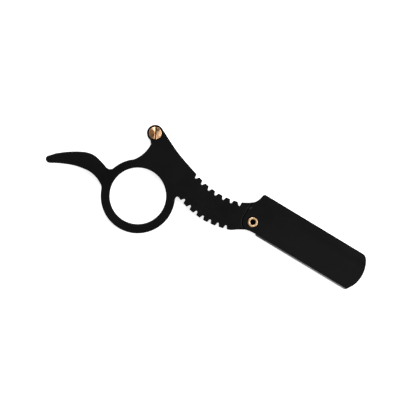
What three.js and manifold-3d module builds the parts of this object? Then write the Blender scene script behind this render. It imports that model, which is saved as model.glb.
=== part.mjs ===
// Barber's finger-ring razor with a swing-out rear arm, a swivelling front jaw
// and a replaceable half-width blade.
//
// Millimetres, +Z up. The razor lies flat on its rear face. The origin is on the
// pivot screw's axis, at the rear face of the pivot nut. +X runs along the cutting
// edge from heel to tip, +Y points to the spine and +Z comes out of the front face.
import * as THREE from 'three'
import { mergeVertices } from 'three/addons/utils/BufferGeometryUtils.js'
import Module from 'manifold-3d'

const wasm = await Module()
wasm.setup()

// ---------------------------------------------------------------- driving sizes

// Layers from the back to the front (Z).
const GAP = 0.1
const NUT_FLANGE_TOP = 0.6
const ARM_LOW = NUT_FLANGE_TOP + GAP
const ARM_HIGH = ARM_LOW + 1.4
const FRAME_LOW = ARM_HIGH + GAP
const FRAME_HIGH = FRAME_LOW + 2.4
const TONGUE_HIGH = FRAME_LOW + 1.0
const TAIL_LOW = TONGUE_HIGH + GAP
const SPINE_WALL_HIGH = ARM_HIGH + 0.4
const JAW_LOW = SPINE_WALL_HIGH + GAP

// Pivot at the lug.
const PIVOT = { x: 0, y: 0 }
const LUG_RADIUS = 3.4
const PIVOT_HOLE_RADIUS = 2.15
const NUT = { flange: 2.9, barrel: 1.9, bore: 1.4, floor: 0.8, top: FRAME_HIGH - 0.5 }
const SCREW = { head: 2.55, shank: 1.1, end: 1.3, headHeight: 0.85, bevel: 0.2 }
const SCREW_SLOT = { width: 0.66, depth: 0.4, angle: 116, offset: -0.18 }
const WASHER = { outer: 2.7, inner: 2.15, thickness: 0.2, recess: 0.2, recessRadius: 2.85 }

// Finger ring and tang.
const RING = { x: 7.13, y: -25.46, rim: 15.05 }
const RING_BORE = { x: 7.08, y: -25.35, radius: 11.42 }
const TANG_TIP = { x: -31.3, y: -31.1, radius: 1.45 }

// Rivet that the front jaw turns on, drilled from the front and closed behind.
const RIVET = { x: 52.35, y: -10.43, bore: 1.1, floor: 0.9, barrel: 1.45, frontFlange: 2.0, rearFlange: 2.4 }
const RIVET_HOLE_RADIUS = 1.65
const FLANGE_HEIGHT = 0.45

// Blade holder.
const HOLDER_TOP = 1.72
const HOLDER_BOTTOM = -14.0
const HOLDER_END = { x: 89.1, y: -6.45, radius: 12.35, arcFrom: -25, tip: 98.85 }
const END_CORNER_RADIUS = 2.6
const HEEL_CORNER_RADIUS = 1.1
const TAIL_RADIUS = 4.28
const SHOULDER_RADIUS = TAIL_RADIUS + 0.18
const TONGUE_RADIUS = 5.0
const TONGUE_TOP = -5.3
const POCKET_MARGIN = 0.3
const SPINE_WALL_BOTTOM = -0.9
const END_WALL_THICKNESS = 1.65
const END_WALL_BOTTOM = -10.6
const LIP_DEPTH = 0.35
const LIP_TOP = -11.8

// Hollow ground into the outer faces of the holder, fading out towards the heel.
const HOLLOW_START = 58
const HOLLOW_FULL = 98
const HOLLOW_LAND = -0.9
const HOLLOW_CREASE = -4.6
const FRONT_FALL = { crease: 0.45, edge: 1.25 }
const REAR_FALL = { crease: 0.2, edge: 0.6 }

// Half-width blade and the two pins that locate it.
const BLADE = { heel: 55.8, length: 43, edge: -14.55, width: 11, thickness: 0.1 }
const BLADE_BED_DEPTH = 0.12
const BLADE_BED_MARGIN = 0.15
const BLADE_CORNER = 0.4
const BACK_SLOT = { inset: 5.2, depth: 0.8 }
const PIN_INSET = { end: 7.5, back: 1.5 }
const PIN = { radius: 1.2, height: 0.45 }
const PIN_NOTCH_RADIUS = 1.6
const CENTRE_NOTCH_RADIUS = 2.4

// Grip notches along both edges of the neck.
const NOTCH = { count: 7, mouth: 1.6, floor: 0.9, depth: 1.52, overshoot: 1.2 }
const SPINE_NOTCHES = { first: 23.7, pitch: 3.32 }
const EDGE_NOTCHES = { first: 23.55, pitch: 3.43 }

// Edges of the neck, from the lug to the holder on the spine side, and from the
// point beside the ring to the holder's heel on the cutting side.
const SPINE_SIDE = [
  [1.55, 3.02], [11.8, -1.85], [22.2, -5.3], [28.6, -7.0], [35.4, -7.55],
  [42.0, -6.7], [45.1, -5.5], [47.6, -4.0], [49.1, -2.7], [49.95, -1.0], [50.3, 0.6],
]
const EDGE_SIDE = [
  [22.7, -17.85], [26.3, -18.95], [30.5, -19.75], [34.8, -20.05], [38.9, -19.7],
  [42.6, -18.95], [46.1, -17.9], [48.9, -16.0], [51.6, -14.55], [54.2, -14.05],
  [56.5, HOLDER_BOTTOM],
]
const TANG_TOP_SIDE = [
  [-9.7, -22.1], [-12.8, -21.05], [-16.7, -20.35], [-20.6, -21.25], [-25.8, -24.25], [-30.1, -27.6],
]
const TANG_LOWER_SIDE = [
  [-30.35, -32.35], [-26.7, -30.35], [-21.2, -28.1], [-15.3, -27.05], [-11.15, -27.7], [-8.25, -29.1],
]

// ------------------------------------------------------------------- materials

const blackCoat = () => new THREE.MeshStandardMaterial({ color: 0x1c1c1d, roughness: 0.5, metalness: 0.3 })
const roseBrass = () => new THREE.MeshStandardMaterial({ color: 0xd9a273, roughness: 0.25, metalness: 1 })
const bronze = () => new THREE.MeshStandardMaterial({ color: 0xb08a4e, roughness: 0.4, metalness: 1 })
const steel = () => new THREE.MeshStandardMaterial({ color: 0xb9bcc0, roughness: 0.3, metalness: 1 })

// --------------------------------------------------------------------- helpers

const radians = THREE.MathUtils.degToRad
const ARC_DIVISIONS = 40
const CHORD_TOLERANCE = 0.005

function polar(centre, radius, degrees) {
  return new THREE.Vector2(
    centre.x + radius * Math.cos(radians(degrees)),
    centre.y + radius * Math.sin(radians(degrees)),
  )
}

function through(path, points) {
  path.splineThru(points.map(([x, y]) => new THREE.Vector2(x, y)))
}

// Keeps only the points that a curve needs to stay within the chord tolerance.
function thinned(points) {
  const last = points.length - 1
  if (last < 2) return points
  const chord = points[last].clone().sub(points[0])
  let worst = 0
  let split = 0
  for (let i = 1; i < last; i++) {
    const offset = points[i].clone().sub(points[0])
    const distance = chord.length() > 1e-6 ? Math.abs(chord.cross(offset)) / chord.length() : offset.length()
    if (distance > worst) {
      worst = distance
      split = i
    }
  }
  if (worst <= CHORD_TOLERANCE) return [points[0], points[last]]
  return [...thinned(points.slice(0, split + 1)).slice(0, -1), ...thinned(points.slice(split))]
}

function toSolid(geometry) {
  const bare = geometry.clone()
  bare.deleteAttribute('normal')
  bare.deleteAttribute('uv')
  const merged = mergeVertices(bare, 1e-5)
  const vertProperties = new Float32Array(merged.attributes.position.array)
  const triVerts = new Uint32Array(merged.index.array)
  return new wasm.Manifold(new wasm.Mesh({ numProp: 3, vertProperties, triVerts }))
}

function toMesh(solid, name, material) {
  const { vertProperties, triVerts } = solid.getMesh()
  const geometry = new THREE.BufferGeometry()
  geometry.setAttribute('position', new THREE.BufferAttribute(new Float32Array(vertProperties), 3))
  geometry.setIndex(new THREE.BufferAttribute(new Uint32Array(triVerts), 1))
  geometry.computeVertexNormals()
  const mesh = new THREE.Mesh(geometry, material)
  mesh.name = name
  return mesh
}

// Upright prism of a closed outline between two heights.
function prism(outline, low, high) {
  const points = thinned(outline.extractPoints(ARC_DIVISIONS).shape)
  const geometry = new THREE.ExtrudeGeometry(new THREE.Shape(points), {
    depth: high - low,
    bevelEnabled: false,
  })
  geometry.translate(0, 0, low)
  return toSolid(geometry)
}

function disc(centre, radius, low, high) {
  const outline = new THREE.Shape()
  outline.absarc(centre.x, centre.y, radius, 0, 2 * Math.PI, false)
  return prism(outline, low, high)
}

function block(xLow, xHigh, yLow, yHigh, zLow, zHigh) {
  const geometry = new THREE.BoxGeometry(xHigh - xLow, yHigh - yLow, zHigh - zLow)
  geometry.translate((xLow + xHigh) / 2, (yLow + yHigh) / 2, (zLow + zHigh) / 2)
  return toSolid(geometry)
}

// Body of revolution about a vertical axis, from a list of [radius, height] points.
function turned(profile, centre, segments = 48) {
  const points = profile.map(([radius, height]) => new THREE.Vector2(radius, height))
  const geometry = new THREE.LatheGeometry(points, segments)
  geometry.rotateX(Math.PI / 2)
  geometry.translate(centre.x, centre.y, 0)
  return toSolid(geometry)
}

// -------------------------------------------------------------------- outlines

// Runs from the point beside the ring, along the neck's cutting side, round the
// holder and back along the spine to the lug.
function addBladeEnd(path) {
  through(path, EDGE_SIDE.slice(1))
  path.lineTo(HOLDER_END.tip, HOLDER_BOTTOM)
  const cornerY = HOLDER_TOP - END_CORNER_RADIUS
  const cornerReach = HOLDER_END.radius - END_CORNER_RADIUS
  const cornerAngle = Math.asin((cornerY - HOLDER_END.y) / cornerReach)
  const cornerX = HOLDER_END.x + cornerReach * Math.cos(cornerAngle)
  path.absarc(HOLDER_END.x, HOLDER_END.y, HOLDER_END.radius, radians(HOLDER_END.arcFrom), cornerAngle, false)
  path.absarc(cornerX, cornerY, END_CORNER_RADIUS, cornerAngle, Math.PI / 2, false)
  const heelY = HOLDER_TOP - HEEL_CORNER_RADIUS
  const heelX = SPINE_SIDE.at(-1)[0] + HEEL_CORNER_RADIUS
  path.absarc(heelX, heelY, HEEL_CORNER_RADIUS, Math.PI / 2, radians(172), false)
  through(path, SPINE_SIDE.toReversed())
}

// Lug, finger ring, tang, neck and holder in one outline.
function bodyOutline() {
  const path = new THREE.Shape()
  const shoulder = { x: -12.2, y: -5.5, radius: 13 }
  path.absarc(PIVOT.x, PIVOT.y, LUG_RADIUS, radians(63.5), radians(255), false)
  path.quadraticCurveTo(0.8, -3.3, shoulder.x + shoulder.radius, shoulder.y)
  path.absarc(shoulder.x, shoulder.y, shoulder.radius, 0, radians(-39.4), true)
  path.absarc(RING.x, RING.y, RING.rim, radians(130.5), radians(161.5), false)
  path.quadraticCurveTo(-7.75, -22.3, ...TANG_TOP_SIDE[0])
  through(path, TANG_TOP_SIDE.slice(1))
  path.absarc(TANG_TIP.x, TANG_TIP.y, TANG_TIP.radius, radians(142), radians(300), false)
  through(path, TANG_LOWER_SIDE)
  path.quadraticCurveTo(-7.3, -29.7, ...polar(RING, RING.rim, 203))
  path.absarc(RING.x, RING.y, RING.rim, radians(203), radians(385), false)
  path.quadraticCurveTo(20.05, -17.1, 21.7, -17.4)
  path.lineTo(...EDGE_SIDE[0])
  addBladeEnd(path)
  return path
}

// Lug, neck and holder: the swinging arm's outline.
function armOutline() {
  const path = new THREE.Shape()
  path.absarc(PIVOT.x, PIVOT.y, LUG_RADIUS, radians(63.5), radians(265), false)
  path.quadraticCurveTo(1.6, -6.2, 7.5, -11.0)
  path.quadraticCurveTo(13.8, -15.4, 21.7, -17.4)
  path.lineTo(...EDGE_SIDE[0])
  addBladeEnd(path)
  return path
}

// Everything on the holder's side of the dividing line round the rivet: a straight
// stop above the rivet and a round knuckle below it.
function jawRegion(radius) {
  const path = new THREE.Shape()
  const farX = HOLDER_END.x + 2 * HOLDER_END.radius
  path.absarc(RIVET.x, RIVET.y, radius, Math.PI, 1.5 * Math.PI, false)
  path.lineTo(farX, RIVET.y - radius)
  path.lineTo(farX, HOLDER_TOP + 2)
  path.lineTo(RIVET.x - radius, HOLDER_TOP + 2)
  path.closePath()
  return path
}

// Thin tongue of the frame that lies under the front jaw's tail.
function tongueSolid(margin, low, high) {
  const left = RIVET.x - SHOULDER_RADIUS - 1 - margin
  const round = disc(RIVET, TONGUE_RADIUS + margin, low, high)
  const root = block(left, RIVET.x, RIVET.y - 0.8 * TONGUE_RADIUS, TONGUE_TOP + margin, low, high)
  return round.add(root)
}

// Half-width blade with the locating notches along its back.
function bladeOutline() {
  const tip = BLADE.heel + BLADE.length
  const back = BLADE.edge + BLADE.width
  const floor = back - BACK_SLOT.depth
  const path = new THREE.Shape()
  path.moveTo(BLADE.heel + BLADE_CORNER, BLADE.edge)
  path.lineTo(tip - BLADE_CORNER, BLADE.edge)
  path.lineTo(tip, BLADE.edge + BLADE_CORNER)
  path.lineTo(tip, back)
  path.lineTo(tip - BACK_SLOT.inset, back)
  path.lineTo(tip - BACK_SLOT.inset, floor)
  path.lineTo(BLADE.heel + BACK_SLOT.inset, floor)
  path.lineTo(BLADE.heel + BACK_SLOT.inset, back)
  path.lineTo(BLADE.heel, back)
  path.lineTo(BLADE.heel, BLADE.edge + BLADE_CORNER)
  path.closePath()
  return path
}

// ----------------------------------------------------------------- grip notches

// One notch in its own frame: X along the neck's edge, Y outwards.
function notchOutline() {
  const path = new THREE.Shape()
  const floorRadius = NOTCH.floor / 2
  const flare = NOTCH.mouth / 2 + (NOTCH.mouth - NOTCH.floor) * 0.25
  path.moveTo(flare, NOTCH.overshoot)
  path.lineTo(-flare, NOTCH.overshoot)
  path.lineTo(-NOTCH.mouth / 2, 0)
  path.absarc(0, floorRadius - NOTCH.depth, floorRadius, Math.PI, 2 * Math.PI, false)
  path.lineTo(NOTCH.mouth / 2, 0)
  path.closePath()
  return path
}

// A row of notches square to a neck edge, spaced by their X positions.
function notchRow(edge, row, outwards) {
  const curve = new THREE.SplineCurve(edge.map(([x, y]) => new THREE.Vector2(x, y)))
  const samples = curve.getPoints(400)
  const cutters = []
  for (let i = 0; i < NOTCH.count; i++) {
    const x = row.first + i * row.pitch
    const k = samples.findIndex((point) => point.x >= x)
    const slope = samples[k + 1].clone().sub(samples[k - 1]).angle()
    const turn = outwards > 0 ? slope : slope + Math.PI
    const geometry = new THREE.ExtrudeGeometry(notchOutline(), {
      depth: FRAME_HIGH + 2,
      bevelEnabled: false,
      curveSegments: 4,
    })
    geometry.rotateZ(turn)
    geometry.translate(samples[k].x, samples[k].y, -1)
    cutters.push(toSolid(geometry))
  }
  return cutters
}

function withNotches(solid) {
  const cutters = [
    ...notchRow(SPINE_SIDE, SPINE_NOTCHES, 1),
    ...notchRow(EDGE_SIDE, EDGE_NOTCHES, -1),
  ]
  return cutters.reduce((result, cutter) => result.subtract(cutter), solid)
}

// ---------------------------------------------------------- hollow of the holder

// Cutter whose depth grows from nothing at the heel to its full fall at the tip.
// side is +1 for the front face and -1 for the rear face.
function hollowCutter(face, fall, side) {
  const steps = 6
  const yEnd = HOLDER_BOTTOM - 1
  const edgeSlope = (fall.edge - fall.crease) / (HOLLOW_CREASE - HOLDER_BOTTOM)
  const section = new THREE.Shape()
  section.moveTo(HOLLOW_LAND, 2)
  section.lineTo(HOLLOW_LAND, 0)
  for (let i = 1; i <= steps; i++) {
    const t = i / steps
    const y = THREE.MathUtils.lerp(HOLLOW_LAND, HOLLOW_CREASE, t)
    section.lineTo(y, -fall.crease * Math.sin((t * Math.PI) / 2))
  }
  section.lineTo(yEnd, -fall.crease - edgeSlope * (HOLLOW_CREASE - yEnd))
  section.lineTo(yEnd, 2)
  section.closePath()
  const xLow = HOLLOW_START - 1
  const xHigh = HOLDER_END.x + HOLDER_END.radius + 2
  const geometry = new THREE.ExtrudeGeometry(section, { depth: xHigh - xLow, bevelEnabled: false })
  const position = geometry.attributes.position
  for (let i = 0; i < position.count; i++) {
    const y = position.getX(i)
    const x = position.getZ(i) + xLow
    const fade = (x - HOLLOW_START) / (HOLLOW_FULL - HOLLOW_START)
    const drop = position.getY(i)
    position.setXYZ(i, x, y, face + side * (drop > 1 ? drop : drop * fade))
  }
  if (side < 0) flipFaces(geometry)
  return toSolid(geometry)
}

function flipFaces(geometry) {
  const position = geometry.attributes.position
  const a = new THREE.Vector3()
  const b = new THREE.Vector3()
  for (let i = 0; i < position.count; i += 3) {
    a.fromBufferAttribute(position, i + 1)
    b.fromBufferAttribute(position, i + 2)
    position.setXYZ(i + 1, b.x, b.y, b.z)
    position.setXYZ(i + 2, a.x, a.y, a.z)
  }
}

// ------------------------------------------------------------------- the pieces

function framePlate() {
  const above = FRAME_HIGH + 1
  let plate = withNotches(prism(bodyOutline(), FRAME_LOW, FRAME_HIGH))
  plate = plate.subtract(prism(jawRegion(SHOULDER_RADIUS), 0, above))
  const silhouette = prism(armOutline(), FRAME_LOW, TONGUE_HIGH)
  plate = plate.add(tongueSolid(0, FRAME_LOW, TONGUE_HIGH).intersect(silhouette))
  plate = plate.subtract(disc(RING_BORE, RING_BORE.radius, 0, above))
  plate = plate.subtract(disc(PIVOT, PIVOT_HOLE_RADIUS, 0, above))
  plate = plate.subtract(disc(PIVOT, WASHER.recessRadius, 0, FRAME_LOW + WASHER.recess))
  return plate.subtract(disc(RIVET, RIVET_HOLE_RADIUS, 0, above))
}

function rearArm() {
  // The plate, as high as the wall along its spine, cut down to the blade's level.
  let arm = withNotches(prism(armOutline(), ARM_LOW, SPINE_WALL_HIGH))
  const xLow = PIVOT.x - 2 * LUG_RADIUS
  const xHigh = HOLDER_END.x + HOLDER_END.radius + 1
  const insideEnd = disc(HOLDER_END, HOLDER_END.radius - END_WALL_THICKNESS, ARM_HIGH, JAW_LOW)
  const belowSpineWall = block(xLow, xHigh, RING.y, SPINE_WALL_BOTTOM, ARM_HIGH, JAW_LOW)
  const beforeEndWall = block(xLow, HOLDER_END.x, RING.y, SPINE_WALL_BOTTOM, ARM_HIGH, JAW_LOW)
  const underEndWall = block(xLow, xHigh, RING.y, END_WALL_BOTTOM, ARM_HIGH, JAW_LOW)
  const levelled = belowSpineWall.intersect(insideEnd).add(beforeEndWall).add(underEndWall)
  const neckSide = block(xLow, RIVET.x - TAIL_RADIUS, RING.y, 2 * LUG_RADIUS, ARM_HIGH, JAW_LOW)
  arm = arm.subtract(levelled.add(neckSide))
  arm = arm.subtract(hollowCutter(ARM_LOW, REAR_FALL, -1))
  arm = arm.subtract(bladeBed())
  arm = arm.subtract(disc(PIVOT, PIVOT_HOLE_RADIUS, 0, JAW_LOW))
  return arm.subtract(catchSlot())
}

// Shallow bed that the blade lies in.
function bladeBed() {
  const xLow = BLADE.heel - BLADE_BED_MARGIN
  const xHigh = BLADE.heel + BLADE.length + BLADE_BED_MARGIN
  const yHigh = BLADE.edge + BLADE.width + BLADE_BED_MARGIN
  return block(xLow, xHigh, BLADE.edge - 1, yHigh, ARM_HIGH - BLADE_BED_DEPTH, JAW_LOW)
}

// Open slot that lets the arm swing off the rivet towards the spine side.
function catchSlot() {
  const reach = 8
  const outline = new THREE.Shape()
  outline.absarc(0, 0, RIVET_HOLE_RADIUS, 0, Math.PI, false)
  outline.lineTo(-RIVET_HOLE_RADIUS, -reach)
  outline.lineTo(RIVET_HOLE_RADIUS, -reach)
  outline.closePath()
  const geometry = new THREE.ExtrudeGeometry(outline, { depth: JAW_LOW, bevelEnabled: false })
  geometry.rotateZ(Math.atan2(RIVET.y, RIVET.x))
  geometry.translate(RIVET.x, RIVET.y, 0)
  return toSolid(geometry)
}

function frontJaw() {
  const above = FRAME_HIGH + 1
  let jaw = prism(armOutline(), JAW_LOW - LIP_DEPTH, FRAME_HIGH)
  jaw = jaw.intersect(prism(jawRegion(TAIL_RADIUS), 0, above))
  const bladeEnd = BLADE.heel + BLADE.length
  const lip = block(BLADE.heel + 1.8, bladeEnd - 0.5, HOLDER_BOTTOM - 1, LIP_TOP, 0, JAW_LOW + 1)
  const xLow = RIVET.x - 2 * TAIL_RADIUS
  const xHigh = HOLDER_END.x + HOLDER_END.radius + 1
  const underside = block(xLow, xHigh, HOLDER_BOTTOM - 3, HOLDER_TOP + 1, 0, JAW_LOW)
  jaw = jaw.subtract(underside.subtract(lip))
  jaw = jaw.subtract(tongueSolid(POCKET_MARGIN, 0, TAIL_LOW))
  jaw = jaw.subtract(hollowCutter(FRAME_HIGH, FRONT_FALL, 1))
  return jaw.subtract(disc(RIVET, RIVET_HOLE_RADIUS, 0, above))
}

function blade() {
  const low = ARM_HIGH - BLADE_BED_DEPTH
  const back = BLADE.edge + BLADE.width
  const middle = { x: BLADE.heel + BLADE.length / 2, y: back }
  let solid = prism(bladeOutline(), low, low + BLADE.thickness)
  solid = solid.subtract(disc(middle, CENTRE_NOTCH_RADIUS, 0, JAW_LOW))
  for (const centre of pinCentres()) {
    solid = solid.subtract(disc(centre, PIN_NOTCH_RADIUS, 0, JAW_LOW))
  }
  return solid
}

function pinCentres() {
  const y = BLADE.edge + BLADE.width - PIN_INSET.back
  return [
    { x: BLADE.heel + PIN_INSET.end, y },
    { x: BLADE.heel + BLADE.length - PIN_INSET.end, y },
  ]
}

function locatingPin(centre) {
  const low = ARM_HIGH - BLADE_BED_DEPTH
  const high = low + PIN.height
  const bevel = 0.12
  const profile = [[0, low], [PIN.radius, low], [PIN.radius, high - bevel], [PIN.radius - bevel, high], [0, high]]
  return turned(profile, centre, 40)
}

function pivotNut() {
  const profile = [
    [0, 0], [NUT.flange - 0.15, 0], [NUT.flange, 0.15], [NUT.flange, NUT_FLANGE_TOP],
    [NUT.barrel, NUT_FLANGE_TOP], [NUT.barrel, NUT.top], [NUT.bore, NUT.top],
    [NUT.bore, NUT.floor], [0, NUT.floor],
  ]
  return turned(profile, PIVOT)
}

function pivotScrew() {
  const seat = FRAME_HIGH + GAP / 2
  const top = seat + SCREW.headHeight
  const profile = [
    [0, SCREW.end], [SCREW.shank, SCREW.end], [SCREW.shank, seat], [SCREW.head, seat],
    [SCREW.head, top - SCREW.bevel], [SCREW.head - SCREW.bevel, top], [0, top],
  ]
  const slot = new THREE.BoxGeometry(2 * LUG_RADIUS, SCREW_SLOT.width, 2 * SCREW_SLOT.depth)
  slot.translate(0, SCREW_SLOT.offset, 0)
  slot.rotateZ(radians(SCREW_SLOT.angle))
  slot.translate(PIVOT.x, PIVOT.y, top)
  return turned(profile, PIVOT).subtract(toSolid(slot))
}

function pivotWasher() {
  const low = ARM_HIGH + GAP / 2
  const high = low + WASHER.thickness
  const profile = [
    [WASHER.inner, low], [WASHER.outer, low], [WASHER.outer, high],
    [WASHER.inner, high], [WASHER.inner, low],
  ]
  return turned(profile, PIVOT)
}

function hollowRivet() {
  const rearHigh = NUT_FLANGE_TOP
  const rearLow = rearHigh - FLANGE_HEIGHT
  const frontLow = FRAME_HIGH + GAP / 2
  const frontHigh = frontLow + FLANGE_HEIGHT
  const round = 0.15
  const profile = [
    [0, rearLow], [RIVET.rearFlange - round, rearLow], [RIVET.rearFlange, rearLow + round],
    [RIVET.rearFlange, rearHigh], [RIVET.barrel, rearHigh], [RIVET.barrel, frontLow],
    [RIVET.frontFlange, frontLow], [RIVET.frontFlange, frontHigh - round],
    [RIVET.frontFlange - round, frontHigh], [RIVET.bore + round, frontHigh],
    [RIVET.bore, frontHigh - round], [RIVET.bore, RIVET.floor], [0, RIVET.floor],
  ]
  return turned(profile, RIVET)
}

// -------------------------------------------------------------------- assembly

const handle = new THREE.Group()
handle.add(toMesh(framePlate(), 'frame_plate', blackCoat()))
handle.add(toMesh(pivotNut(), 'pivot_nut', roseBrass()))
handle.add(toMesh(pivotWasher(), 'pivot_washer', bronze()))
handle.add(toMesh(pivotScrew(), 'pivot_screw', roseBrass()))
handle.add(toMesh(hollowRivet(), 'hollow_rivet', roseBrass()))

const swingArm = new THREE.Group()
swingArm.add(toMesh(rearArm(), 'rear_arm', blackCoat()))
swingArm.add(toMesh(blade(), 'blade', steel()))
const [heelPin, tipPin] = pinCentres()
swingArm.add(toMesh(locatingPin(heelPin), 'heel_pin', steel()))
swingArm.add(toMesh(locatingPin(tipPin), 'tip_pin', steel()))

const jawGroup = new THREE.Group()
jawGroup.add(toMesh(frontJaw(), 'front_jaw', blackCoat()))

const group = new THREE.Group()
group.add(handle, swingArm, jawGroup)

export default group
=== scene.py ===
"""Looks for the finger-ring razor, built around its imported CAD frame."""

import math

import bmesh
import bpy
import numpy as np
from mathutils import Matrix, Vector
from mathutils import geometry as geo


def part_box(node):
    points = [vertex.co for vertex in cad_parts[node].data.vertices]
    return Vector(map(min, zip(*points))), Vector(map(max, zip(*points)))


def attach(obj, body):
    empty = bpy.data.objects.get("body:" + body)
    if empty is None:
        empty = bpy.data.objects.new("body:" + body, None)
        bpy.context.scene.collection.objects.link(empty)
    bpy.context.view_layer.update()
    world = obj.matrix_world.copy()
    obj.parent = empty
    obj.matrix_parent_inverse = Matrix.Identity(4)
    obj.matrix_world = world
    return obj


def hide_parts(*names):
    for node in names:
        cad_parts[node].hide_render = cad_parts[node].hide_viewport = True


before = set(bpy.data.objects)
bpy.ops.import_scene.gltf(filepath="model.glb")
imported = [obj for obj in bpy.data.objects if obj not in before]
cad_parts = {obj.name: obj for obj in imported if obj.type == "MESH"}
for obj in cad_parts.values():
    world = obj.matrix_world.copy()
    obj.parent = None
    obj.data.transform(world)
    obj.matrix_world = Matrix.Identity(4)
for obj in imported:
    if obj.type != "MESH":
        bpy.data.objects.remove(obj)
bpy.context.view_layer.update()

MM = 0.001
UP = 1
DOWN = -1

# ------------------------------------------------------------------ sizes, in mm
# Rounding of the plates' edges, and how finely their outlines are drawn.
PLATE_ROUND = 0.34
JAW_ROUND = 0.22
FINE_ROUND = 0.08
ROUND_STEPS = 4
SUPPORT = 0.06
OUTLINE_STEP = 0.05
OUTLINE_BLUR = 0.13
OUTLINE_TOLERANCE = 0.0012


# ---------------------------------------------------------- reading the CAD nodes
def cad_mesh(node):
    """The node's faces in mm, with shared corners merged."""
    bm = bmesh.new()
    bm.from_mesh(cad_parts[node].data)
    bmesh.ops.scale(bm, vec=(1 / MM,) * 3, verts=bm.verts)
    bmesh.ops.remove_doubles(bm, verts=bm.verts, dist=1e-4)
    bmesh.ops.dissolve_degenerate(bm, edges=bm.edges, dist=1e-5)
    bm.normal_update()
    return bm


def faces_facing(bm, side, level=None):
    """Faces that look up or down, all of them or only those at one height, in mesh order."""
    chosen = {}
    for face in bm.faces:
        if face.normal.z * side < 0.6:
            continue
        if level is None or abs(face.calc_center_median().z - level) < 0.01:
            chosen[face] = True
    return chosen


def boundary_loops(faces, side):
    """Closed outlines round a set of faces, with the material on the left from above."""
    onward = {}
    for face in faces:
        for loop in face.loops:
            others = [f for f in loop.edge.link_faces if f is not face]
            if not any(f in faces for f in others):
                start, end = loop.vert, loop.link_loop_next.vert
                if side == DOWN:
                    start, end = end, start
                onward.setdefault(start, []).append(end)
    loops = []
    while onward:
        first = next(iter(onward))
        points, here = [], first
        while here in onward:
            points.append((here.co.x, here.co.y))
            ends = onward[here]
            after = ends.pop()
            if not ends:
                del onward[here]
            here = after
            if here is first:
                break
        if len(points) > 2:
            start = points.index(min(points))
            loops.append(np.array(points[start:] + points[:start]))
    return sorted(loops, key=lambda loop: -abs(signed_area(loop)))


def outline(node, side, level=None):
    bm = cad_mesh(node)
    loops = boundary_loops(faces_facing(bm, side, level), side)
    bm.free()
    return [eased(loop) for loop in loops if abs(signed_area(loop)) > 0.5]


def levels(node, side, least_area=4.0):
    """Heights of the node's flat faces that look up or down, lowest first."""
    bm = cad_mesh(node)
    areas = {}
    for face in faces_facing(bm, side):
        if abs(face.normal.z) > 0.9999:
            height = round(face.calc_center_median().z, 2)
            areas[height] = areas.get(height, 0) + face.calc_area()
    bm.free()
    return sorted(height for height, area in areas.items() if area > least_area)


# -------------------------------------------------------------- outlines in plan
def signed_area(points):
    x, y = points[:, 0], points[:, 1]
    return 0.5 * float(np.sum(x * np.roll(y, -1) - y * np.roll(x, -1)))


def resampled(points, step):
    closed = np.vstack([points, points[:1]])
    run = np.concatenate([[0], np.cumsum(np.hypot(*np.diff(closed, axis=0).T))])
    count = max(24, int(round(run[-1] / step)))
    at = np.arange(count) * run[-1] / count
    return np.stack([np.interp(at, run, closed[:, k]) for k in (0, 1)], 1)


def thinned(points, tolerance):
    """Keeps the points that a closed outline needs to stay within the tolerance."""
    count = len(points)
    far = int(np.argmax(np.hypot(*(points - points[0]).T)))
    keep = {0, far}
    todo = [(0, far), (far, count)]
    ring = np.vstack([points, points[:1]])
    while todo:
        a, b = todo.pop()
        if b - a < 2:
            continue
        chord = ring[b] - ring[a]
        offsets = ring[a + 1:b] - ring[a]
        gap = np.abs(chord[0] * offsets[:, 1] - chord[1] * offsets[:, 0]) / max(np.hypot(*chord), 1e-9)
        worst = int(np.argmax(gap))
        if gap[worst] > tolerance or np.hypot(*chord) > 4.0:
            if gap[worst] <= tolerance:
                worst = (b - a) // 2 - 1
            middle = a + 1 + worst
            keep.add(middle)
            todo += [(a, middle), (middle, b)]
    return points[sorted(keep)]


def eased(points):
    """The outline with its corners softened, drawn finely."""
    dense = resampled(points, OUTLINE_STEP)
    wave = np.fft.fftfreq(len(dense), d=OUTLINE_STEP)
    soft = np.exp(-2 * (math.pi * wave * OUTLINE_BLUR) ** 2)
    smooth = np.stack([np.fft.ifft(np.fft.fft(dense[:, k]) * soft).real for k in (0, 1)], 1)
    return thinned(smooth, OUTLINE_TOLERANCE)


def inward(points):
    """Unit normals towards the material, scaled so that a shift keeps its distance."""
    before = points - np.roll(points, 1, 0)
    after = np.roll(points, -1, 0) - points
    before /= np.hypot(*before.T)[:, None]
    after /= np.hypot(*after.T)[:, None]
    middle = before + after
    middle /= np.maximum(np.hypot(*middle.T), 1e-6)[:, None]
    spread = np.clip((middle * after).sum(1), 0.6, 1)
    return np.stack([-middle[:, 1], middle[:, 0]], 1) / spread[:, None]


def distance_to(points, ring):
    """Distance of each point from a closed outline."""
    start, end = ring, np.roll(ring, -1, 0)
    run = end - start
    length2 = np.maximum((run ** 2).sum(1), 1e-12)
    best = np.full(len(points), 1e9)
    for k in range(0, len(points), 200):
        rel = points[k:k + 200, None, :] - start[None]
        t = np.clip((rel * run).sum(2) / length2, 0, 1)
        gap = rel - t[..., None] * run
        best[k:k + 200] = np.sqrt((gap ** 2).sum(2)).min(1)
    return best


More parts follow.
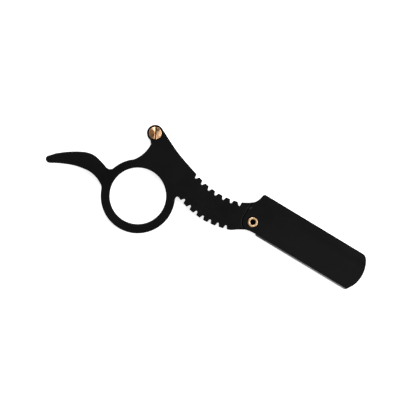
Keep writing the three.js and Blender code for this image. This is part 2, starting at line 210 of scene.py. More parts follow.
def shifted(points, distance):
    """The outline moved towards the material. Points that would fold over meet at the corner."""
    if distance <= 0:
        return points.copy()
    moved = points + inward(points) * distance
    bad = distance_to(moved, points) < distance * 0.97
    count = len(points)
    if bad.all() or not bad.any():
        return moved
    start = int(np.argmin(bad))
    order = [(start + k) % count for k in range(count)]
    k = 0
    while k < count:
        if not bad[order[k]]:
            k += 1
            continue
        end = k
        while end < count and bad[order[end]]:
            end += 1
        left, right = order[k - 1], order[end % count]
        a = Vector(moved[left])
        b = Vector(moved[order[k - 2]])
        c = Vector(moved[right])
        d = Vector(moved[order[(end + 1) % count]])
        corner = geo.intersect_line_line(b.to_3d(), a.to_3d(), d.to_3d(), c.to_3d())
        middle = (a + c) / 2
        if corner and (corner[0].to_2d() - middle).length < 2 * distance:
            middle = corner[0].to_2d()
        for j in range(k, end):
            moved[order[j]] = middle
        k = end
    return moved


def inside(points, loops):
    """Which points lie in the material of a set of loops."""
    odd = np.zeros(len(points), bool)
    for ring in loops:
        nxt = np.roll(ring, -1, 0)
        for (x0, y0), (x1, y1) in zip(ring, nxt):
            if y0 == y1:
                continue
            crosses = (y0 > points[:, 1]) != (y1 > points[:, 1])
            odd ^= crosses & (points[:, 0] < (x1 - x0) * (points[:, 1] - y0) / (y1 - y0) + x0)
    return odd


# ------------------------------------------------------------------ plate solids
def constant(height):
    return lambda x, y: height


def edge_profile(rounding):
    """(shift inwards, drop from the face) pairs, from the side wall to the face."""
    if rounding <= 0:
        return [(0.0, 0.0)]
    turn = [0.5 * math.pi * k / ROUND_STEPS for k in range(ROUND_STEPS + 1)]
    rows = [(rounding * (1 - math.cos(t)), rounding * (1 - math.sin(t))) for t in turn]
    return rows + [(rounding + SUPPORT, 0.0)]


def crossed(ring, creases):
    """The outline with a point added wherever a crease meets it."""
    runs = [np.array(run, float) for run in creases if len(run) > 1]
    if not runs:
        return ring
    starts = np.vstack([run[:-1] for run in runs])
    ends = np.vstack([run[1:] for run in runs])
    points = []
    for a, b in zip(ring, np.roll(ring, -1, 0)):
        points.append(a)
        along, run = b - a, ends - starts
        cross = along[0] * run[:, 1] - along[1] * run[:, 0]
        cross[np.abs(cross) < 1e-12] = 1e-12
        gap = starts - a
        t = (gap[:, 0] * run[:, 1] - gap[:, 1] * run[:, 0]) / cross
        u = (gap[:, 0] * along[1] - gap[:, 1] * along[0]) / cross
        for step in sorted(t[(t > 1e-3) & (t < 1 - 1e-3) & (u >= 0) & (u <= 1)]):
            points.append(a + along * step)
    return np.array(points)


def add_layer(bm, loops, low, high, low_round=0.0, high_round=0.0,
              creases=(), low_creases=(), square=None):
    """Adds a closed solid between two heights, given as functions of place, with rounded edges.
    The faces pass through the creases, which are runs of points. square(x, y) is true where
    the lower edge stays sharp."""
    edge = bm.verts.layers.float.get("edge") or bm.verts.layers.float.new("edge")
    rims = {UP: [], DOWN: []}
    for plain in loops:
        ring = crossed(plain, list(creases) + list(low_creases))
        sharp = np.array([bool(square and square(x, y)) for x, y in ring])
        rows = []
        profile = [(s, d, low, 1) for s, d in reversed(edge_profile(low_round))]
        profile += [(s, d, high, -1) for s, d in edge_profile(high_round)]
        for shift, drop, height, sign in profile:
            placed = shifted(ring, shift)
            row = []
            for k, (x, y) in enumerate(placed):
                x0, y0 = ring[k]
                if sharp[k] and sign > 0:
                    x, y, fall = x0, y0, 0.0
                else:
                    fall = drop
                vert = bm.verts.new((x, y, height(x0, y0) + sign * fall))
                vert[edge] = 1.0 if drop > 1e-6 else 0.0
                row.append(vert)
            rows.append(row)
        for below, above in zip(rows, rows[1:]):
            for k in range(len(ring)):
                j = (k + 1) % len(ring)
                bm.faces.new((below[k], below[j], above[j], above[k]))
        rims[UP].append(rows[-1])
        rims[DOWN].append(rows[0])
    fill(bm, rims[UP], high, UP, creases)
    fill(bm, rims[DOWN], low, DOWN, low_creases)


def fill(bm, rims, height, side, creases):
    """Closes the face inside its rims with triangles that pass through the creases."""
    verts = [v for rim in rims for v in rim]
    plan = [Vector((v.co.x, v.co.y)) for v in verts]
    edges = []
    offset = 0
    for rim in rims:
        count = len(rim)
        edges += [(offset + k, offset + (k + 1) % count) for k in range(count)]
        offset += count
    rings = [np.array([(v.co.x, v.co.y) for v in rim]) for rim in rims]
    for run in creases:
        spots = np.array(run, float)
        clear = np.min([distance_to(spots, ring) for ring in rings], 0) > 0.03
        ok = inside(spots, rings) & clear
        previous = None
        for spot, good in zip(spots, ok):
            if not good:
                previous = None
                continue
            plan.append(Vector(spot))
            if previous is not None:
                edges.append((previous, len(plan) - 1))
            previous = len(plan) - 1
    out, _, faces, origins, _, _ = geo.delaunay_2d_cdt(plan, edges, [], 0, 1e-7)
    made = {}

    def vert_at(k):
        if k not in made:
            source = [i for i in origins[k] if i < len(verts)]
            if source:
                made[k] = verts[source[0]]
            else:
                x, y = out[k]
                made[k] = bm.verts.new((x, y, height(x, y)))
        return made[k]

    centres = np.array([[sum(out[i][c] for i in face) / len(face) for c in (0, 1)] for face in faces])
    within = inside(centres, rings)
    for face, good in zip(faces, within):
        if not good:
            continue
        corners = [vert_at(i) for i in (face if side == UP else reversed(face))]
        if len(set(corners)) == 3:
            # Two rims that touch can ask for the same triangle twice.
            try:
                bm.faces.new(corners)
            except ValueError:
                pass


def add_turned(bm, profile, centre, segments=160):
    """Adds a body of revolution about a vertical axis, from closed (radius, height) points."""
    rings = []
    for radius, height in profile:
        if radius < 1e-6:
            rings.append([bm.verts.new((centre[0], centre[1], height))])
            continue
        ring = []
        for k in range(segments):
            turn = 2 * math.pi * k / segments
            ring.append(bm.verts.new((
                centre[0] + radius * math.cos(turn), centre[1] + radius * math.sin(turn), height)))
        rings.append(ring)
    pairs = list(zip(rings, rings[1:]))
    if len(rings[0]) > 1:
        pairs.append((rings[-1], rings[0]))
    for a, b in pairs:
        for k in range(segments):
            j = (k + 1) % segments
            if len(a) == 1 and len(b) == 1:
                break
            if len(a) == 1:
                corners = (a[0], b[j], b[k])
            elif len(b) == 1:
                corners = (a[k], a[j], b[0])
            else:
                corners = (a[k], a[j], b[j], b[k])
            bm.faces.new(corners)


def arc(centre, radius, start, end, steps):
    """Points along an arc, with angles in degrees."""
    turns = [math.radians(start + (end - start) * k / steps) for k in range(steps + 1)]
    return [(centre[0] + radius * math.cos(t), centre[1] + radius * math.sin(t)) for t in turns]


def straight(start, end, step=0.4):
    count = max(1, int(math.dist(start, end) / step))
    return [tuple(s + (e - s) * k / count for s, e in zip(start, end)) for k in range(count + 1)]


def finish_piece(bm, name, body, nodes, material, sharp=38):
    """Turns a mesh in mm into a finished piece in metres that rides on its body."""
    bmesh.ops.remove_doubles(bm, verts=bm.verts, dist=2e-5)
    bmesh.ops.dissolve_degenerate(bm, edges=bm.edges, dist=1e-6)
    bmesh.ops.recalc_face_normals(bm, faces=bm.faces)
    bmesh.ops.scale(bm, vec=(MM,) * 3, verts=bm.verts)
    mesh = bpy.data.meshes.new(name)
    bm.to_mesh(mesh)
    bm.free()
    mesh.shade_smooth()
    mesh.set_sharp_from_angle(angle=math.radians(sharp))
    piece = bpy.data.objects.new(name, mesh)
    bpy.context.scene.collection.objects.link(piece)
    mesh.materials.append(material)
    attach(piece, body)
    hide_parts(*nodes)


# ---------------------------------------------------------------------- materials
def shader(name):
    material = bpy.data.materials.new(name)
    material.use_nodes = True
    nodes, links = material.node_tree.nodes, material.node_tree.links
    surface = nodes["Principled BSDF"]
    place = nodes.new("ShaderNodeTexCoord")

    def add(kind, settings=(), sockets=(), **inputs):
        node = nodes.new("ShaderNode" + kind)
        for key, value in dict(settings).items():
            setattr(node, key, value)
        for socket, value in list(dict(sockets).items()) + list(inputs.items()):
            socket = socket.replace("_", " ") if isinstance(socket, str) else socket
            if isinstance(value, bpy.types.NodeSocket):
                links.new(value, node.inputs[socket])
            else:
                node.inputs[socket].default_value = value
        return node

    return material, surface, place.outputs["Object"], add, links


def ramp(add, factor, stops):
    """A colour ramp through (position, value) stops, with values as greys or colours."""
    node = add("ValToRGB", Fac=factor)
    band = node.color_ramp
    while len(band.elements) < len(stops):
        band.elements.new(0.5)
    for element, (position, value) in zip(band.elements, stops):
        element.position = position
        element.color = (*value, 1) if isinstance(value, tuple) else (value, value, value, 1)
    return node.outputs["Color"]


def noise(add, place, scale, detail=4, stretch=(1, 1, 1)):
    at = add("Mapping", Vector=place, Scale=stretch)
    return add("TexNoise", Vector=at.outputs[0], Scale=scale, Detail=detail, Roughness=0.55).outputs["Fac"]


COAT_DARK = (0.0022, 0.0022, 0.0025)
COAT_LIGHT = (0.0034, 0.0034, 0.0037)
# Darker colour for the rounded edges: painted shade.
COAT_EDGE_SHADE = (0.0018, 0.0018, 0.0019)

# A painted highlight: a small pale spot on the coating of the front jaw, by the dividing line, where the
# jaw's corner
# catches light: its place, the angle it lies at, its half-length, half-width and depth, and its tone.
PAINTED_GLINT = (48.65, -5.98, 4.6)
PAINTED_GLINT_ANGLE = 53.0
PAINTED_GLINT_SIZE = (0.95, 0.4, 1.0)
PAINTED_GLINT_TONE = (0.021, 0.021, 0.023)


def glint_distance(add, place):
    """Distance from the middle of the painted highlight, as a share of its size in each direction."""
    turn = math.radians(PAINTED_GLINT_ANGLE)
    axes = [(math.cos(turn), math.sin(turn), 0), (-math.sin(turn), math.cos(turn), 0), (0, 0, 1)]
    shift = add("VectorMath", {"operation": "SUBTRACT"}, {0: place, 1: tuple(c * MM for c in PAINTED_GLINT)})
    shares = []
    for axis, size in zip(axes, PAINTED_GLINT_SIZE):
        scaled = tuple(c / (size * MM) for c in axis)
        share = add("VectorMath", {"operation": "DOT_PRODUCT"}, {0: shift.outputs[0], 1: scaled})
        shares.append(share.outputs["Value"])
    joined = add("CombineXYZ", X=shares[0], Y=shares[1], Z=shares[2])
    return add("VectorMath", {"operation": "LENGTH"}, {0: joined.outputs[0]}).outputs["Value"]


def coated_steel():
    """Satin black coating on steel: fine grain, faint clouding, edges a little darker with painted shade,
    one painted highlight.
    """
    material, surface, place, add, links = shader("satin_black_coat")
    grain = noise(add, place, 9000, 3)
    cloud = noise(add, place, 90, 4)
    brushed = noise(add, place, 1800, 3, (0.05, 1, 1))
    edge = add("Attribute", {"attribute_name": "edge"}).outputs["Fac"]
    patchy = ramp(add, cloud, [(0.35, 0.25), (0.65, 1.0)])
    # Painted shade: rounded edges darkened in patches, which dims their reflections.
    edge_shade = add("Math", {"operation": "MULTIPLY"}, {0: edge, 1: patchy})
    tone = ramp(add, cloud, [(0.3, COAT_DARK), (0.7, COAT_LIGHT)])
    coat = add("Mix", {"data_type": "RGBA"}, {0: edge_shade.outputs[0], 6: tone, 7: (*COAT_EDGE_SHADE, 1)})
    # Painted highlight: a pale spot on the front jaw, by the dividing line.
    glint = ramp(add, glint_distance(add, place), [(0.55, 1.0), (1.0, 0.0)])
    glinted = add("Mix", {"data_type": "RGBA"}, {0: glint, 6: coat.outputs[2], 7: (*PAINTED_GLINT_TONE, 1)})
    links.new(glinted.outputs[2], surface.inputs["Base Color"])
    speckle = add("Math", {"operation": "MULTIPLY_ADD"}, {0: grain, 1: 0.08, 2: 0.22})
    gloss = add("Math", {"operation": "MULTIPLY_ADD"}, {0: cloud, 1: 0.10, 2: speckle.outputs[0]})
    links.new(gloss.outputs[0], surface.inputs["Roughness"])
    surface.inputs["Metallic"].default_value = 0.0
    surface.inputs["Specular IOR Level"].default_value = 0.11
    fine = add("Bump", Strength=0.12, Distance=0.00002, Height=grain)
    drawn = add("Bump", Strength=0.06, Distance=0.00002, Height=brushed, Normal=fine.outputs[0])
    links.new(drawn.outputs[0], surface.inputs["Normal"])
    return material


def turned_metal(name, centre, dark, light, painted_recess_shade, roughness, anisotropic, side_shade=None):
    """Metal turned on a lathe: rings round the axis, mottled tarnish, and painted shade where it is deep.
    The last argument, (place from the axis, radius, colour), adds a darker spot of painted shade on one
    side."""
    material, surface, place, add, links = shader(name)
    shift = add("VectorMath", {"operation": "SUBTRACT"},
                {0: place, 1: (centre[0] * MM, centre[1] * MM, 0)})
    flat = add("VectorMath", {"operation": "MULTIPLY"}, {0: shift.outputs[0], 1: (1, 1, 0)})
    radius = add("VectorMath", {"operation": "LENGTH"}, {0: flat.outputs[0]}).outputs["Value"]
    line = add("CombineXYZ", X=radius)
    rings = add("TexNoise", Vector=line.outputs[0], Scale=14000, Detail=3).outputs["Fac"]
    tarnish = noise(add, place, 700, 4)
    tone = ramp(add, tarnish, [(0.3, dark), (0.62, light)])
    deep = add("Attribute", {"attribute_name": "deep"}).outputs["Fac"]
    # Painted shade: a darker spot on one side of the head.
    if side_shade:
        where, reach, side_shade_tone = side_shade
        away = add("VectorMath", {"operation": "SUBTRACT"},
                   {0: flat.outputs[0], 1: tuple(c * MM for c in where)})
        span = add("VectorMath", {"operation": "LENGTH"}, {0: away.outputs[0]}).outputs["Value"]
        near = add("MapRange", Value=span, From_Min=0.3 * reach * MM, From_Max=reach * MM,
                   To_Min=1.0, To_Max=0.0).outputs["Result"]
        tone = add("Mix", {"data_type": "RGBA"}, {0: near, 6: tone, 7: (*side_shade_tone, 1)}).outputs[2]
    # Painted shade: corners marked deep take the recess colour.
    recess_shaded = add("Mix", {"data_type": "RGBA"}, {0: deep, 6: tone, 7: (*painted_recess_shade, 1)})
    links.new(recess_shaded.outputs[2], surface.inputs["Base Color"])
    surface.inputs["Metallic"].default_value = 1.0
    gloss = add("Math", {"operation": "MULTIPLY_ADD"}, {0: tarnish, 1: 0.12, 2: roughness - 0.06})
    links.new(gloss.outputs[0], surface.inputs["Roughness"])
    surface.inputs["Anisotropic"].default_value = anisotropic
    surface.inputs["Anisotropic Rotation"].default_value = 0.25
    ring_bump = add("Bump", Strength=0.25, Distance=0.00002, Height=rings)
    links.new(ring_bump.outputs[0], surface.inputs["Normal"])
    tangent = add("Tangent", {"direction_type": "RADIAL", "axis": "Z"})
    links.new(tangent.outputs[0], surface.inputs["Tangent"])
    return material


def ground_steel(name, tone, roughness, fade=None):
    """Ground steel with fine lines across the edge and faint handling marks. A fade,
    (from x, to x, share), darkens the steel towards its low-x end as painted shade."""
    material, surface, place, add, links = shader(name)
    lines = noise(add, place, 2500, 3, (1, 0.04, 1))
    marks = noise(add, place, 300, 4)
    colour = ramp(add, marks, [(0.3, tuple(0.82 * c for c in tone)), (0.7, tone)])
    # Painted shade: the blade darkened towards its heel.
    if fade:
        start, end, share = fade
        x = add("SeparateXYZ", Vector=place).outputs["X"]
        reach = add("MapRange", Value=x, From_Min=start * MM, From_Max=end * MM).outputs["Result"]
        shade = ramp(add, reach, [(0.0, share), (1.0, 1.0)])
        darkened = {"data_type": "RGBA", "blend_type": "MULTIPLY"}
        colour = add("Mix", darkened, {0: 1.0, 6: colour, 7: shade}).outputs[2]
    links.new(colour, surface.inputs["Base Color"])
    surface.inputs["Metallic"].default_value = 1.0
    gloss = add("Math", {"operation": "MULTIPLY_ADD"}, {0: lines, 1: 0.15, 2: roughness - 0.07})
    links.new(gloss.outputs[0], surface.inputs["Roughness"])
    scored = add("Bump", Strength=0.2, Distance=0.00002, Height=lines)
    links.new(scored.outputs[0], surface.inputs["Normal"])
    return material


# ------------------------------------------------------------------------- pieces
def centre_of(node):
    low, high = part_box(node)
    return ((low.x + high.x) / 2 / MM, (low.y + high.y) / 2 / MM)


def heights_of(node):
    low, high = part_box(node)
    return low.z / MM, high.z / MM


PIVOT = centre_of("pivot_nut")
RIVET = centre_of("hollow_rivet")
COAT = coated_steel()
# The screw's brass: a darker spot of painted shade on one side of the head, and dark brown painted shade
# in the slot.
SCREW_BRASS = turned_metal(
    "turned_rose_brass", PIVOT, (0.76, 0.45, 0.24), (0.88, 0.56, 0.32), (0.12, 0.042, 0.012), 0.34, 0.9,
    ((-1.4, -0.5, 0.0), 2.0, (0.46, 0.20, 0.085)))
# The rivet's recess colour is near black: painted shade in its bore.
RIVET_BRASS = turned_metal(
    "rivet_rose_brass", RIVET, (0.68, 0.43, 0.22), (0.82, 0.56, 0.32), (0.004, 0.003, 0.003), 0.36, 0.3)
BRONZE = turned_metal(
    "bearing_bronze", PIVOT, (0.36, 0.22, 0.10), (0.52, 0.34, 0.16), (0.2, 0.1, 0.04), 0.36, 0.3)
BLADE_STEEL = ground_steel("honed_blade_steel", (0.33, 0.335, 0.34), 0.30, (55.0, 75.0, 0.35))
PIN_STEEL = ground_steel("bright_pin_steel", (0.56, 0.57, 0.58), 0.26)

# Hollow ground into the holder: where it starts and is full along the holder, its land and
# crease across it, and how far each face falls at the crease and at the edge.
HOLLOW_START, HOLLOW_FULL = 58.0, 98.0
HOLLOW_LAND, HOLLOW_CREASE = -0.9, -4.6
HOLDER_BOTTOM = -14.0
PAST_TIP = 102.0
FRONT_FALL = (0.45, 1.25)
REAR_FALL = (0.2, 0.6)


def hollow(x, y, fall):
    """How far the ground face lies below its blank at a place."""
    if y >= HOLLOW_LAND or x <= HOLLOW_START:
        return 0.0
    fade = (x - HOLLOW_START) / (HOLLOW_FULL - HOLLOW_START)
    t = min(1.0, (HOLLOW_LAND - y) / (HOLLOW_LAND - HOLLOW_CREASE))
    drop = fall[0] * math.sin(t * math.pi / 2)
    if y < HOLLOW_CREASE:
        drop += (fall[1] - fall[0]) * (HOLLOW_CREASE - y) / (HOLLOW_CREASE - HOLDER_BOTTOM)
    return drop * fade


def hollow_lines():
    """Runs of points along the holder that let the ground faces bend."""
    curved = [HOLLOW_LAND + (HOLLOW_CREASE - HOLLOW_LAND) * k / 8 for k in range(9)]
    flat = [-6.0, -7.5, -9.0, -10.5, -12.0, -13.0]
    return [[(x, y) for x in np.arange(HOLLOW_START, PAST_TIP, 1.0)] for y in curved + flat]


# Round the rivet: the jaw's tail, the frame's shoulder, and the jaw's pocket for the tongue.
TAIL_RADIUS = 4.28
SHOULDER_RADIUS = 4.46
POCKET_RADIUS = 5.3
POCKET_TOP = -5.0
# The washer's recess, the walls and lip inside the holder, and the blade's bed.
RECESS_RADIUS, RECESS_DEPTH = 2.85, 0.2
SPINE_WALL_BOTTOM = -0.9
END_WALL_CENTRE = (89.1, -6.45)
END_WALL_INSIDE = 10.7
END_WALL_BOTTOM = -10.6
LIP_LEFT, LIP_RIGHT, LIP_TOP = 57.6, 98.3, -11.8
BED_TOP = -3.4
BED_DEPTH = 0.12
BED_MARGIN = 0.15
BELOW_HOLDER = -16
# How far apart the two sides of a step are in plan, and how far the tongue runs on.
STEP = 0.01
TUCK = 0.6


def radius_from(centre, x, y):
    return math.hypot(x - centre[0], y - centre[1])


def both_sides(run):
    """A run of points and its twin a hair away, so that a face steps between them."""
    points = np.array(run, float)
    along = np.gradient(points, axis=0)
    along /= np.hypot(*along.T)[:, None]
    normal = np.stack([-along[:, 1], along[:, 0]], 1)
    return [points - normal * STEP, points + normal * STEP]


def recess_steps(left, right, top):
    """Steps round three sides of an area that is open at the holder's lower edge."""
    sides = [((left, BELOW_HOLDER), (left, top)), ((left, top), (right, top)),
             ((right, top), (right, BELOW_HOLDER))]
    return [run for start, end in sides for run in both_sides(straight(start, end))]


def tucked(ring, plate):
    """The tongue's outline, carried on under the plate where it meets the shoulder, so that
    the two solids run into each other."""
    away = ring - np.array(RIVET)
    span = np.hypot(*away.T)
    moved = ring + away / span[:, None] * TUCK
    left_stop = np.abs(ring[:, 0] - (RIVET[0] - SHOULDER_RADIUS)) < TUCK / 10
    on_stop = (np.abs(span - SHOULDER_RADIUS) < TUCK / 10) | left_stop
    sunk = on_stop & inside(moved, plate) & (distance_to(moved, plate[0]) > TUCK / 5)
    return np.where(sunk[:, None], moved, ring)


def frame_plate():
    low, _ = heights_of("frame_plate")
    tongue_top, top = levels("frame_plate", UP)
    plate = outline("frame_plate", UP, top)
    bm = bmesh.new()

    def under_washer(x, y):
        return low + (RECESS_DEPTH if radius_from(PIVOT, x, y) < RECESS_RADIUS else 0)

    def on_tongue(x, y):
        return radius_from(RIVET, x, y) < SHOULDER_RADIUS + 0.35 and y < POCKET_TOP - 0.4

    recess = arc(PIVOT, RECESS_RADIUS, 0, 360, 120)
    add_layer(bm, plate, under_washer, constant(top), PLATE_ROUND * 0.6, PLATE_ROUND,
              low_creases=both_sides(recess), square=on_tongue)
    tongue = [tucked(ring, plate) for ring in outline("frame_plate", UP, tongue_top)]
    add_layer(bm, tongue, constant(low + STEP), constant(tongue_top), FINE_ROUND, FINE_ROUND)
    finish_piece(bm, "frame_plate_coated", "frame", ["frame_plate"], COAT)


def front_jaw():
    low, _ = heights_of("front_jaw")
    underside, pocket = levels("front_jaw", DOWN)[-2:]
    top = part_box("frame_plate")[1].z / MM

    def over(x, y):
        return top - hollow(x, y, FRONT_FALL)

    def under(x, y):
        if radius_from(RIVET, x, y) < POCKET_RADIUS or (x < RIVET[0] and RIVET[1] < y < POCKET_TOP):
            return pocket
        if LIP_LEFT < x < LIP_RIGHT and y < LIP_TOP:
            return low
        return underside

    steps = both_sides(arc(RIVET, POCKET_RADIUS, -110, 90, 90))
    steps += both_sides(straight((RIVET[0] - 6, POCKET_TOP), (RIVET[0], POCKET_TOP)))
    steps += recess_steps(LIP_LEFT, LIP_RIGHT, LIP_TOP)
    bm = bmesh.new()
    add_layer(bm, outline("front_jaw", UP), under, over, FINE_ROUND, JAW_ROUND,
              creases=hollow_lines(), low_creases=steps)
    finish_piece(bm, "front_jaw_coated", "front_jaw", ["front_jaw"], COAT)


def rear_arm():
    low, wall_top = heights_of("rear_arm")
    deck = levels("rear_arm", UP)[-2]
    blade_low, blade_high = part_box("blade")
    bed_left = blade_low.x / MM - BED_MARGIN
    bed_right = blade_high.x / MM + BED_MARGIN
    wall_left = RIVET[0] - TAIL_RADIUS

    def over(x, y):
        past_inside = radius_from(END_WALL_CENTRE, x, y) > END_WALL_INSIDE
        in_end = x > END_WALL_CENTRE[0] and past_inside and y > END_WALL_BOTTOM
        if x > wall_left and (y > SPINE_WALL_BOTTOM or in_end):
            return wall_top
        if bed_left < x < bed_right and y < BED_TOP:
            return deck - BED_DEPTH
        return deck

    def under(x, y):
        return low + hollow(x, y, REAR_FALL)

    end_x, end_y = END_WALL_CENTRE
    spine_end = end_x + math.sqrt(END_WALL_INSIDE ** 2 - (SPINE_WALL_BOTTOM - end_y) ** 2)
    foot = math.degrees(math.asin((END_WALL_BOTTOM - end_y) / END_WALL_INSIDE))
    head = math.degrees(math.asin((SPINE_WALL_BOTTOM - end_y) / END_WALL_INSIDE))
    foot_x = end_x + END_WALL_INSIDE * math.cos(math.radians(foot))
    steps = both_sides(straight((wall_left, 3), (wall_left, SPINE_WALL_BOTTOM)))
    steps += both_sides(straight((wall_left, SPINE_WALL_BOTTOM), (spine_end, SPINE_WALL_BOTTOM)))
    steps += both_sides(arc(END_WALL_CENTRE, END_WALL_INSIDE, head, foot, 60))
    steps += both_sides(straight((foot_x, END_WALL_BOTTOM), (foot_x + 4, END_WALL_BOTTOM)))
    steps += recess_steps(bed_left, bed_right, BED_TOP)
    bm = bmesh.new()
    add_layer(bm, outline("rear_arm", DOWN), under, over, JAW_ROUND, FINE_ROUND,
              creases=steps, low_creases=hollow_lines())
    finish_piece(bm, "rear_arm_coated", "rear_arm", ["rear_arm"], COAT)


# Width of the blade's honed bevel, and how much each face falls across it.
BEVEL_WIDTH = 0.9
BEVEL_FALL = 0.046


def blade():
    low, high = heights_of("blade")
    corner, far_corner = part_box("blade")
    edge_y = corner.y / MM
    bevel_y = edge_y + BEVEL_WIDTH

    def ground(y):
        return BEVEL_FALL * max(0.0, 1 - (y - edge_y) / BEVEL_WIDTH)

    line = [straight((corner.x / MM, bevel_y), (far_corner.x / MM, bevel_y), 1.0)]
    bm = bmesh.new()
    add_layer(bm, outline("blade", UP), lambda x, y: low + ground(y), lambda x, y: high - ground(y),
              creases=line, low_creases=line)
    finish_piece(bm, "half_blade", "rear_arm", ["blade"], BLADE_STEEL, 3)


def rounded(points, radius, steps=5):
    """A closed (radius, height) profile with its listed corners turned into arcs.
    Points are (r, z, share), where share scales the rounding at that corner."""
    out = []
    count = len(points)
    for k, (r, z, share) in enumerate(points):
        here = Vector((r, z))
        if share <= 0:
            out.append((r, z))
            continue
        before = Vector(points[k - 1][:2]) - here
        after = Vector(points[(k + 1) % count][:2]) - here
        reach = min(radius * share, before.length * 0.49, after.length * 0.49)
        start, end = here + before.normalized() * reach, here + after.normalized() * reach
        for j in range(steps + 1):
            t = j / steps
            p = start * (1 - t) ** 2 + here * 2 * t * (1 - t) + end * t ** 2
            out.append((p.x, p.y))
    return out


def mark_deep(bm, test):
    """Marks the corners inside slots and bores, which the turned metal darkens with painted shade."""
    deep = bm.verts.layers.float.new("deep")
    for vert in bm.verts:
        vert[deep] = 1.0 if test(vert) else 0.0


# Radii of the nut and washer, and the nut's flange and floor above its rear face.
NUT_FLANGE, NUT_BARREL, NUT_BORE = 2.9, 1.9, 1.4
NUT_FLANGE_HEIGHT, NUT_FLOOR = 0.6, 0.8
WASHER_INNER, WASHER_OUTER = 2.15, 2.7


def pivot_nut():
    low, high = heights_of("pivot_nut")
    flange_top, floor = low + NUT_FLANGE_HEIGHT, low + NUT_FLOOR
    profile = rounded([
        (0, low, 0), (NUT_FLANGE, low, 1), (NUT_FLANGE, flange_top, 0.4), (NUT_BARREL, flange_top, 0.2),
        (NUT_BARREL, high, 0.5), (NUT_BORE, high, 0.5), (NUT_BORE, floor, 0.2), (0, floor, 0)], 0.22)
    bm = bmesh.new()
    add_turned(bm, profile, PIVOT)
    finish_piece(bm, "pivot_nut_turned", "frame", ["pivot_nut"], SCREW_BRASS)


def pivot_washer():
    low, high = heights_of("pivot_washer")
    profile = rounded([
        (WASHER_INNER, low, 1), (WASHER_OUTER, low, 1),
        (WASHER_OUTER, high, 1), (WASHER_INNER, high, 1)], 0.05)
    bm = bmesh.new()
    add_turned(bm, profile, PIVOT)
    finish_piece(bm, "pivot_washer_turned", "frame", ["pivot_washer"], BRONZE)


# Screw: a slightly domed head on a shank, and a slot across it with softened lips.
SCREW_HEAD, SCREW_SHANK = 2.55, 1.1
SCREW_HEAD_HEIGHT = 0.85
DOME_FALL = 0.2
SHANK_OVERLAP = 0.1
SLOT_WIDTH = 0.66
SLOT_DEPTH = 0.4
SLOT_ANGLE = 116.0
SLOT_OFFSET = -0.18
LIP_WIDTH, LIP_FALL = 0.08, 0.05


def pivot_screw():
    low, high = heights_of("pivot_screw")
    seat = high - SCREW_HEAD_HEIGHT
    bm = bmesh.new()
    shank_top = seat + SHANK_OVERLAP
    shank = [(0, low, 0), (SCREW_SHANK, low, 1), (SCREW_SHANK, shank_top, 0), (0, shank_top, 0)]
    add_turned(bm, rounded(shank, 0.2), PIVOT)
    turn = math.radians(SLOT_ANGLE)
    along = np.array((math.cos(turn), math.sin(turn)))
    across = np.array((-along[1], along[0]))

    def from_slot(x, y):
        return abs((x - PIVOT[0]) * across[0] + (y - PIVOT[1]) * across[1] - SLOT_OFFSET)

    def over(x, y):
        gap = from_slot(x, y)
        if gap < SLOT_WIDTH / 2:
            return high - SLOT_DEPTH
        lip = min(1.0, (gap - SLOT_WIDTH / 2) / LIP_WIDTH)
        dome = DOME_FALL * (radius_from(PIVOT, x, y) / SCREW_HEAD) ** 2
        return high - dome - LIP_FALL * (1 - lip)

    creases = []
    wall = SLOT_WIDTH / 2
    for reach in (-wall - LIP_WIDTH, -wall, wall, wall + LIP_WIDTH):
        middle = np.array(PIVOT) + across * (SLOT_OFFSET + reach)
        run = straight(tuple(middle - along * 3.2), tuple(middle + along * 3.2), 0.15)
        creases += both_sides(run) if abs(reach) == wall else [run]
    creases += [arc(PIVOT, r, 0, 360, 72) for r in (0.4, 0.8, 1.2, 1.6, 2.0, 2.25)]
    ring = np.array(arc(PIVOT, SCREW_HEAD, 0, 360, 160)[:-1])
    add_layer(bm, [ring], constant(seat), over, 0.05, 0.2, creases=creases)
    # The slot's corners get painted shade.
    mark_deep(bm, lambda v: from_slot(v.co.x, v.co.y) < wall and v.co.z > shank_top)
    finish_piece(bm, "pivot_screw_turned", "frame", ["pivot_screw"], SCREW_BRASS, 25)


# Rivet: radii, and the heights of its flanges and of its bore's floor.
RIVET_FRONT, RIVET_REAR, RIVET_BARREL, RIVET_BORE = 2.0, 2.4, 1.45, 1.1
RIVET_FLANGE_HEIGHT = 0.45
RIVET_FLOOR = 0.9


def hollow_rivet():
    low, high = heights_of("hollow_rivet")
    rear, seat = low + RIVET_FLANGE_HEIGHT, high - RIVET_FLANGE_HEIGHT
    profile = rounded([
        (0, low, 0), (RIVET_REAR, low, 1), (RIVET_REAR, rear, 0.3),
        (RIVET_BARREL, rear, 0.1), (RIVET_BARREL, seat, 0.1),
        (RIVET_FRONT, seat, 0.2), (RIVET_FRONT, high, 2.2), (RIVET_BORE, high, 1.2),
        (RIVET_BORE, RIVET_FLOOR, 0.5), (0, RIVET_FLOOR, 0)], 0.24, 8)
    bm = bmesh.new()
    add_turned(bm, profile, RIVET)
    # The bore's corners get near-black painted shade.
    mark_deep(bm, lambda v: radius_from(RIVET, v.co.x, v.co.y) < RIVET_BORE + 0.01 and v.co.z > 0.8)
    finish_piece(bm, "hollow_rivet_rolled", "frame", ["hollow_rivet"], RIVET_BRASS)


PIN_RADIUS = 1.2


def locating_pin(node):
    low, high = heights_of(node)
    profile = rounded([(0, low, 0), (PIN_RADIUS, low, 0.3), (PIN_RADIUS, high, 1), (0, high, 0)], 0.16)
    bm = bmesh.new()
    add_turned(bm, profile, centre_of(node), 96)
    finish_piece(bm, node + "_turned", "rear_arm", [node], PIN_STEEL)


frame_plate()
rear_arm()
front_jaw()
blade()
pivot_nut()
pivot_washer()
pivot_screw()
hollow_rivet()
locating_pin("heel_pin")
locating_pin("tip_pin")


# ------------------------------------------------------------ floor, light, camera
FLOOR_HALF = 1.5
FLOOR_GLOW = 0.8


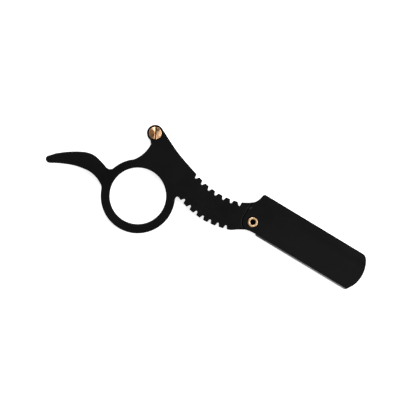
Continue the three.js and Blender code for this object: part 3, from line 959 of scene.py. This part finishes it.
def floor():
    bm = bmesh.new()
    corners = [(-1, -1), (1, -1), (1, 1), (-1, 1)]
    bm.faces.new([bm.verts.new((x * FLOOR_HALF, y * FLOOR_HALF, 0)) for x, y in corners])
    mesh = bpy.data.meshes.new("floor")
    bm.to_mesh(mesh)
    bm.free()
    sheet = bpy.data.objects.new("floor", mesh)
    bpy.context.scene.collection.objects.link(sheet)
    material = bpy.data.materials.new("floor_white")
    material.use_nodes = True
    surface = material.node_tree.nodes["Principled BSDF"]
    surface.inputs["Base Color"].default_value = (0.9, 0.9, 0.9, 1)
    surface.inputs["Roughness"].default_value = 0.9
    surface.inputs["Specular IOR Level"].default_value = 0.1
    surface.inputs["Emission Color"].default_value = (1, 1, 1, 1)
    surface.inputs["Emission Strength"].default_value = FLOOR_GLOW
    mesh.materials.append(material)


def softbox(name, place, target, size, power):
    data = bpy.data.lights.new(name, "AREA")
    data.shape = "RECTANGLE"
    data.size, data.size_y = size
    data.energy = power
    lamp = bpy.data.objects.new(name, data)
    lamp.location = place
    lamp.visible_camera = False
    lamp.rotation_euler = (Vector(target) - Vector(place)).to_track_quat("-Z", "Y").to_euler()
    bpy.context.scene.collection.objects.link(lamp)


floor()
# The camera looks straight down at this point, and the first two lamps are aimed at it.
MIDDLE = (0.029455, -0.01378, 0.0)
softbox("upper_box", (-0.31, 0.35, 0.85), MIDDLE, (0.3, 0.3), 4.6)
softbox("right_box", (0.68, 0.36, 0.62), MIDDLE, (1.1, 0.5), 11.0)
softbox("over_box", (0.16, -0.10, 0.50), (0.16, -0.10, 0), (0.16, 0.4), 0.24)

scene = bpy.context.scene
world = bpy.data.worlds.new("studio")
world.use_nodes = True
world.node_tree.nodes["Background"].inputs["Color"].default_value = (1, 1, 1, 1)
world.node_tree.nodes["Background"].inputs["Strength"].default_value = 0.06
scene.world = world

VIEW_WIDTH = 0.16228
LENS, SENSOR = 300.0, 36.0
ROLL = 31.13
lens = bpy.data.cameras.new("photo_camera")
lens.lens, lens.sensor_width = LENS, SENSOR
lens.clip_start, lens.clip_end = 0.05, 20
camera = bpy.data.objects.new("photo_camera", lens)
camera.location = (MIDDLE[0], MIDDLE[1], VIEW_WIDTH * LENS / SENSOR)
camera.rotation_euler = (0, 0, math.radians(ROLL))
scene.collection.objects.link(camera)
scene.camera = camera
scene.view_settings.view_transform = "Standard"
